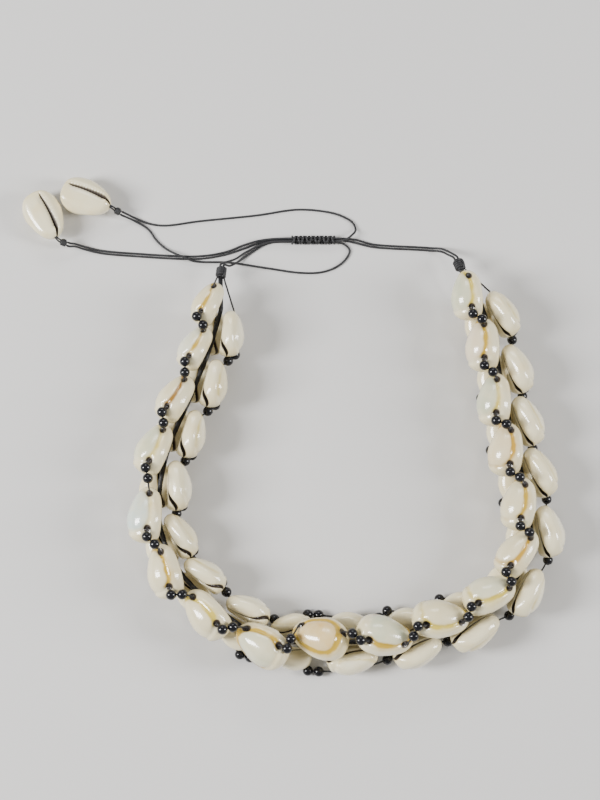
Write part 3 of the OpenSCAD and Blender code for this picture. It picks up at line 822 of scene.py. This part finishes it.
def path_length(path):
    return sum((b - a).length for a, b in zip(path, path[1:], strict=False)) * MM


def knot_way(ends):
    return (Vector(ends[1]) - Vector(ends[0])).normalized()


def from_knot(ends, side):
    """Two points by which a strand leaves a knot, on one side of its middle."""
    way = knot_way(ends)
    across = way.cross(Vector((0, 0, 1))).normalized()
    face = Vector(ends[1]) + KNOT_GAP * way + side * STRANDS_APART * across
    return [face, face + way]


def in_slide(end, y, z):
    """A strand's point at an end of the sliding knot, in its own lane."""
    return Vector(SLIDE_AT) + Vector((end * SLIDE_L / 2, y * LANE, z * LANE))


def lift_off_floor(path, radius):
    return [Vector((p.x, p.y, max(p.z, radius + 0.01))) for p in path]


def strand_routes():
    """Route points of each strand: end knot, sliding knot, loop or tail, and the tail shell's knot."""
    table = (
        ("strand_a", LEFT_KNOT, -1, LEFT_A, -1, (-1, 1), UPPER_LOOP, TAIL_2_KNOT, -1),
        ("strand_b", LEFT_KNOT, 1, LEFT_B, -1, (-1, -1), LOWER_LOOP, TAIL_2_KNOT, 1),
        ("strand_c", RIGHT_KNOT, -1, RIGHT_C, 1, (1, -1), TAIL_C, TAIL_1_KNOT, 1),
        ("strand_d", RIGHT_KNOT, 1, RIGHT_D, 1, (1, 1), TAIL_D, TAIL_1_KNOT, -1),
    )
    return {
        name: [
            *from_knot(knot, side),
            *before,
            in_slide(end, *lane),
            in_slide(-end, *lane),
            *after,
            *reversed(from_knot(tail, tail_side)),
        ]
        for name, knot, side, before, end, lane, after, tail, tail_side in table
    }


def settings_of(name):
    return getattr(bpy.context.scene, name)


def bead_centres(node):
    """Middles of a row's beads, read from its solids."""
    bm = bmesh.new()
    bm.from_mesh(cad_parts[node].data)
    bmesh.ops.remove_doubles(bm, verts=bm.verts, dist=1e-7)
    seen, centres = set(), []
    for start in bm.verts:
        if start in seen:
            continue
        todo, island = [start], []
        seen.add(start)
        while todo:
            v = todo.pop()
            island.append(v.co)
            for e in v.link_edges:
                w = e.other_vert(v)
                if w not in seen:
                    seen.add(w)
                    todo.append(w)
        low = Vector(min(p[i] for p in island) for i in range(3))
        high = Vector(max(p[i] for p in island) for i in range(3))
        centres.append((low + high) / 2 / MM)
    bm.free()
    return centres


def row_times(turn):
    first, last = (1, N_TOP) if turn == 0 else (1.5, N_TOP - 0.5)
    return [first + k for k in range(round(last - first) + 1)]


def row_path(turn, centres):
    """Points of a row's thread, and its beads with the points before and after each."""
    left = list(centres)
    points, beads = [], []
    times = row_times(turn)
    for t in times:
        holes = (UPPER_HOLE, LOWER_HOLE) if t < CENTRE else (LOWER_HOLE, UPPER_HOLE)
        if t == CENTRE:
            holes = (UPPER_HOLE, 1 - UPPER_HOLE)
        for along, height in zip((holes[0], holes[0], holes[1], holes[1]), (1, -1, -1, 1), strict=True):
            points.append(hole_point(t, turn, along, THREAD_RISE if height > 0 else -THREAD_DIVE))
        if t < times[-1]:
            near_hole = UPPER_HOLE if t + 1 <= CENTRE else LOWER_HOLE
            here, there = points[-1], hole_point(t + 1, turn, near_hole, THREAD_RISE)
            middle = (here + there) / 2
            pair = sorted(left, key=lambda c: (c - middle).length)[:2]
            pair.sort(key=lambda c: (c - here).length - (c - there).length)
            for c in pair:
                left.remove(c)
                beads.append(len(points))
                points.append(c)
    return points, beads


# Operators


class NECKLACE_OT_camera(bpy.types.Operator):
    """Set the camera as the photographer held it, almost straight above"""

    bl_idname = "necklace.camera"
    bl_label = "Camera"

    def execute(self, context):
        stage = settings_of("necklace_stage")
        aim = Vector(AIM) * MM
        lean = stage.lean
        eye = aim + stage.distance * Vector((0, -math.sin(lean), math.cos(lean)))
        data = bpy.data.cameras.new("camera")
        data.lens = stage.lens
        data.sensor_fit = "AUTO"
        data.sensor_width = 36
        camera = bpy.data.objects.new("camera", data)
        camera.matrix_world = Matrix.Translation(eye) @ Matrix.Rotation(lean, 4, "X")
        context.scene.collection.objects.link(camera)
        context.scene.camera = camera
        return {"FINISHED"}


class NECKLACE_OT_strands(bpy.types.Operator):
    """Lay the four closing strands of twisted waxed cord, with the knots on them"""

    bl_idname = "necklace.strands"
    bl_label = "Closing strands"

    def execute(self, context):
        cords = settings_of("necklace_cords")
        wax = waxed_cord(cords)
        knots = {
            "strand_a": [sliding_knot(wax), tail_knot(wax, "tail_knot_2", TAIL_2_KNOT, "tail_shell_2")],
            "strand_c": [tail_knot(wax, "tail_knot_1", TAIL_1_KNOT, "tail_shell_1")],
        }
        radius = cords.strand / MM / 2
        for name, route in strand_routes().items():
            path = lift_off_floor(smooth_path(route), radius)
            bm = bmesh.new()
            sweep(bm, path, radius, 10, 0.07, cords.lay / MM)
            obj = shown(name + "_cord", bm, wax, [name])
            print(name, "measures", round(path_length(path), 4), "m")
        return {"FINISHED"}


def coil(bm, ends, form, steps_inside, sides):
    """Wraps of cord side by side round a line, and the filling inside them."""
    radius, cord_radius, turns = form[COIL_R], form[COIL_CORD], form[COIL_TURNS]
    a, b = Vector(ends[0]), Vector(ends[1])
    way = (b - a).normalized()
    first = way.orthogonal().normalized()
    second = way.cross(first)
    steps = round(turns * 18)
    path = []
    for k in range(steps + 1):
        f = k / steps
        angle = 2 * math.pi * turns * f
        centre = a + way * (cord_radius + f * ((b - a).length - 2 * cord_radius))
        path.append(centre + radius * (math.cos(angle) * first + math.sin(angle) * second))
    sweep(bm, path, cord_radius, 10, 0.05)
    inside = [a + (b - a) * k / steps_inside for k in range(steps_inside + 1)]
    sweep(bm, inside, form[COIL_CORE], sides)


def tail_knot(wax, name, ends, shell):
    """Wraps below a tail shell, and the loop that goes up into its slit."""
    bm = bmesh.new()
    coil(bm, ends, TAIL_COIL, 6, 12)
    a, b = Vector(ends[0]), Vector(ends[1])
    at, way = TAIL_SHELLS[shell]
    way = Vector((*way, 0)).normalized()
    tip = Vector((*at, SHELL_W / 2 * TAIL_SHARE)) - way * SHELL_L * TAIL_SHARE / 2
    across = way.cross(Vector((0, 0, 1)))
    for side in (-1, 1):
        route = [
            a + (b - a) * 0.3 + across * side * 0.3,
            a + across * side * 0.4 + Vector((0, 0, 0.5)),
            tip + across * side * 0.25 + Vector((0, 0, 0.9)),
            tip + way * 1.6 + across * side * 0.1,
        ]
        sweep(bm, smooth_path(route, 0.25), LOOP_CORD, 10, 0.05)
    return shown(name + "_wraps", bm, wax, [name])


def sliding_knot(wax):
    """A row of square knots: one working cord lies in front, the other behind, and they lock at the sides."""
    bm = bmesh.new()
    halves = 2 * SQUARE_KNOTS
    for side in (1, -1):
        path = []
        for k in range(halves * 16 + 1):
            t = k / 16
            swing = math.cos(math.pi * t)
            turn = abs(swing) ** 6
            y = side * -WEAVE_WIDE * (abs(swing) ** 0.8) * math.copysign(1, swing)
            z = side * WEAVE_HIGH * (1 - 1.25 * turn)
            x = SLIDE_L * (t / halves - 0.5) * 0.96
            path.append(Vector(SLIDE_AT) + Vector((x, y, z)))
        sweep(bm, lift_off_floor(path, WEAVE_CORD), WEAVE_CORD, 10, 0.05, 2.0)
    return shown("sliding_knot_weave", bm, wax, ["sliding_knot"])


class NECKLACE_OT_end_knots(bpy.types.Operator):
    """Wrap the two end knots where the rows of shells end"""

    bl_idname = "necklace.end_knots"
    bl_label = "End knots"

    def execute(self, context):
        wax = bpy.data.materials["waxed_cord"]
        for name, ends in (("left_end_knot", LEFT_KNOT), ("right_end_knot", RIGHT_KNOT)):
            bm = bmesh.new()
            coil(bm, ends, END_COIL, 8, 14)
            a, b = Vector(ends[0]), Vector(ends[1])
            over = knot_way(ends).orthogonal().normalized()
            lash = [
                a + over * 0.9,
                a + over * 1.75 + (b - a) * 0.2,
                a + over * 1.8 + (b - a) * 0.75,
                b + over * 0.8,
            ]
            sweep(bm, smooth_path(lash, 0.3), LASH_CORD, 10, 0.05)
            shown(name + "_wraps", bm, wax, [name])
        return {"FINISHED"}


class NECKLACE_OT_shells(bpy.types.Operator):
    """Model the cowries of the three rows and the two tail shells"""

    bl_idname = "necklace.shells"
    bl_label = "Cowries"

    def execute(self, context):
        settings = settings_of("necklace_shells")
        glaze = porcelain(settings)
        chance = random.Random(5)
        grids = {}

        def grid(hole, holes, toothed, rows, backs, swing, dome):
            key = (hole, holes, toothed, swing)
            if key not in grids:
                grids[key] = cowrie_grid(settings, hole, rows, backs, holes, toothed, swing, dome)
            return grids[key]

        def add(bm, t, turn, look):
            holes, dome = (UPPER_HOLE, LOWER_HOLE), DOME_AT
            if turn == 0 and t == CENTRE:
                holes, dome = (UPPER_HOLE, 1 - UPPER_HOLE), CENTRE_DOME_AT
            swing = {0: 0, ROW_TURN: OUTER_SWING, -ROW_TURN: INNER_SWING}[turn]
            g = grid(hole_turn(t, turn), holes, STRUNG_TEETH, *STRUNG_GRID, swing, dome)
            shell_bmesh(bm, g, look, shell_matrix(shell_frame(t, turn)), chance.uniform(-WOBBLE, WOBBLE))

        for k in range(1, N_TOP + 1):
            bm = bmesh.new()
            add(bm, k, 0, TOP_LOOKS[k - 1])
            node = f"top_shell_{k:02d}"
            shown(node + "_cowrie", bm, glaze, [node])
        for k in range(1, N_TOP):
            side = "inner" if k < CENTRE else "outer"
            bm = bmesh.new()
            add(bm, k + 0.5, -ROW_TURN if k < CENTRE else ROW_TURN, SIDE_LOOKS[k % 3])
            node = f"{side}_shell_{k:02d}"
            shown(node + "_cowrie", bm, glaze, [node])
        halves = (("left", range(1, CENTRE), ROW_TURN), ("right", range(CENTRE, N_TOP), -ROW_TURN))
        for side, span, turn in halves:
            bm = bmesh.new()
            for k in span:
                add(bm, k + 0.5, turn, SIDE_LOOKS[(k + 1) % 3])
            node = "under_shells_" + side
            shown(node + "_cowries", bm, glaze, [node])
        for name, (at, way) in TAIL_SHELLS.items():
            x = Vector((*way, 0)).normalized()
            back = Vector((0, 0, -1))
            f = (x, back.cross(x), back, Vector((*at, SHELL_W / 2 * TAIL_SHARE)), TAIL_SHARE)
            bm = bmesh.new()
            g = grid(TAIL_DOME_TURN, (), 1, *TAIL_GRID, 0, DOME_AT)
            shell_bmesh(bm, g, TAIL_LOOK, shell_matrix(f), TAIL_WOBBLE)
            shown(name + "_cowrie", bm, glaze, [name])
        return {"FINISHED"}


class NECKLACE_OT_beads(bpy.types.Operator):
    """String the black glass beads in pairs between the shells of each row, with their threads"""

    bl_idname = "necklace.beads"
    bl_label = "Beads and threads"

    def execute(self, context):
        beads = settings_of("necklace_beads")
        cords = settings_of("necklace_cords")
        glass = black_glass(beads)
        wax = bpy.data.materials["waxed_cord"]
        for row, turn in (("top", 0), ("inner", -ROW_TURN), ("outer", ROW_TURN)):
            points, places = row_path(turn, bead_centres(row + "_beads"))
            bm = bmesh.new()
            for k in places:
                way = (points[k + 1] - points[k - 1]).normalized()
                turned = Matrix.Translation(points[k] * MM) @ way.to_track_quat("Z", "Y").to_matrix().to_4x4()
                bead(bm, beads, turned)
            shown(row + "_beads_glass", bm, glass, [row + "_beads"])
            first, last = row_times(turn)[0], row_times(turn)[-1]
            path = [to_row(LEFT_KNOT, first, turn), *points, to_row(RIGHT_KNOT, last, turn)]
            bm = bmesh.new()
            sweep(bm, eased(path), cords.thread / MM / 2, 8, 0.06, 1.8)
            shown(row + "_thread_twist", bm, wax, [row + "_thread"])
        bm = bmesh.new()
        core = [core_point(1 + k / 4) for k in range(4 * (N_TOP - 1) + 1)]
        sweep(bm, [Vector(LEFT_KNOT[0]), *core, Vector(RIGHT_KNOT[0])], CORE_D / 2, 12, 0.05, 4.5)
        shown("core_cord_twist", bm, wax, ["core_cord"])
        return {"FINISHED"}


def to_row(ends, t, turn):
    """Where a row's thread leaves an end knot, beside the core cord."""
    way = knot_way(ends)
    side = shell_frame(t, turn)[3] - core_point(t)
    off = (side - side.dot(way) * way).normalized()
    return Vector(ends[0]) - KNOT_GAP * way + off * ((CORE_D + THREAD_D) / 2 + KNOT_GAP)


def eased(points, step=0.5):
    """A path through the points with its corners rounded a little."""
    fine = [points[0]]
    for a, b in zip(points, points[1:], strict=False):
        count = max(1, round((b - a).length / step))
        fine += [a + (b - a) * k / count for k in range(1, count + 1)]
    eased_middle = [(p + 2 * q + r) / 4 for p, q, r in zip(fine, fine[1:], fine[2:], strict=False)]
    return [fine[0], *eased_middle, fine[-1]]


def bead(bm, settings, matrix):
    """A bored glass bead from its half outline, laid round its axis."""
    sides = 22
    outer, bore = settings.diameter / 2, settings.bore / 2
    top = math.acos(bore / outer * 1.12)
    outline = [(bore, -0.8 * outer), (bore * 1.1, -outer * math.sin(top) * 0.99)]
    outline += [(outer * math.cos(a), outer * math.sin(a)) for a in [top * (k / 5 - 1) for k in range(11)]]
    outline += [(bore * 1.1, outer * math.sin(top) * 0.99), (bore, 0.8 * outer)]
    rings = []
    for r, z in outline:
        angles = [2 * math.pi * j / sides for j in range(sides)]
        rings.append([matrix @ Vector((r * math.cos(a), r * math.sin(a), z)) for a in angles])
    rings.append(rings[0])
    count = len(rings)
    rim = [[1.0 if k < 2 or k > count - 4 else 0.0] * sides for k in range(count)]
    wrapped_grid(bm, count - 1, sides, rings, {"bore_rim": rim})


class NECKLACE_OT_stage(bpy.types.Operator):
    """Lay a plain pale floor and set soft studio light"""

    bl_idname = "necklace.stage"
    bl_label = "Stage"

    def execute(self, context):
        stage = settings_of("necklace_stage")
        bm = bmesh.new()
        bmesh.ops.create_grid(bm, x_segments=2, y_segments=2, size=3.0)
        mesh = bpy.data.meshes.new("floor")
        bm.to_mesh(mesh)
        bm.free()
        s = Shader("floor_paper")
        s.set(Base_Color=tuple(stage.floor), Roughness=0.8)
        mesh.materials.append(s.material)
        floor = bpy.data.objects.new("floor", mesh)
        context.scene.collection.objects.link(floor)
        world = bpy.data.worlds.new("studio")
        world.use_nodes = True
        world.node_tree.nodes["Background"].inputs["Color"].default_value = (1, 0.99, 0.96, 1)
        world.node_tree.nodes["Background"].inputs["Strength"].default_value = 0.34
        context.scene.world = world
        for name, place, side, power in (
            ("left_softbox", (-0.8, -0.12, 0.65), (0.26, 0.5), 19),
            ("right_softbox", (0.85, -0.05, 0.5), (0.22, 0.5), 10),
            ("rear_softbox", (0.0, 0.8, 0.7), (0.6, 0.3), 3),
        ):
            light = bpy.data.lights.new(name, "AREA")
            light.shape = "RECTANGLE"
            light.size, light.size_y = side
            light.energy = power
            obj = bpy.data.objects.new(name, light)
            way = Vector((0, 0, 0)) - Vector(place)
            obj.matrix_world = Matrix.Translation(place) @ way.to_track_quat("-Z", "Y").to_matrix().to_4x4()
            context.scene.collection.objects.link(obj)
        return {"FINISHED"}


OPERATORS = (
    NECKLACE_OT_camera,
    NECKLACE_OT_strands,
    NECKLACE_OT_end_knots,
    NECKLACE_OT_shells,
    NECKLACE_OT_beads,
    NECKLACE_OT_stage,
)
GROUPS = {
    "necklace_shells": ShellSettings,
    "necklace_beads": BeadSettings,
    "necklace_cords": CordSettings,
    "necklace_stage": StageSettings,
}


class NECKLACE_PT_panel(bpy.types.Panel):
    """Sizes, colours and steps of the necklace"""

    bl_idname = "NECKLACE_PT_panel"
    bl_label = "Cowrie necklace"
    bl_space_type = "VIEW_3D"
    bl_region_type = "UI"
    bl_category = "Necklace"

    def draw(self, context):
        for name, group in GROUPS.items():
            box = self.layout.box()
            box.label(text=name)
            for key in group.__annotations__:
                box.prop(getattr(context.scene, name), key)
        for operator in OPERATORS:
            self.layout.operator(operator.bl_idname)


def register():
    for cls in (*GROUPS.values(), *OPERATORS, NECKLACE_PT_panel):
        bpy.utils.register_class(cls)
    for name, group in GROUPS.items():
        setattr(bpy.types.Scene, name, bpy.props.PointerProperty(type=group))


def unregister():
    for name in GROUPS:
        delattr(bpy.types.Scene, name)
    for cls in reversed((*GROUPS.values(), *OPERATORS, NECKLACE_PT_panel)):
        bpy.utils.unregister_class(cls)


def main():
    register()
    for operator in OPERATORS:
        group, name = operator.bl_idname.split(".")
        getattr(getattr(bpy.ops, group), name)()


if __name__ == "__main__":
    main()
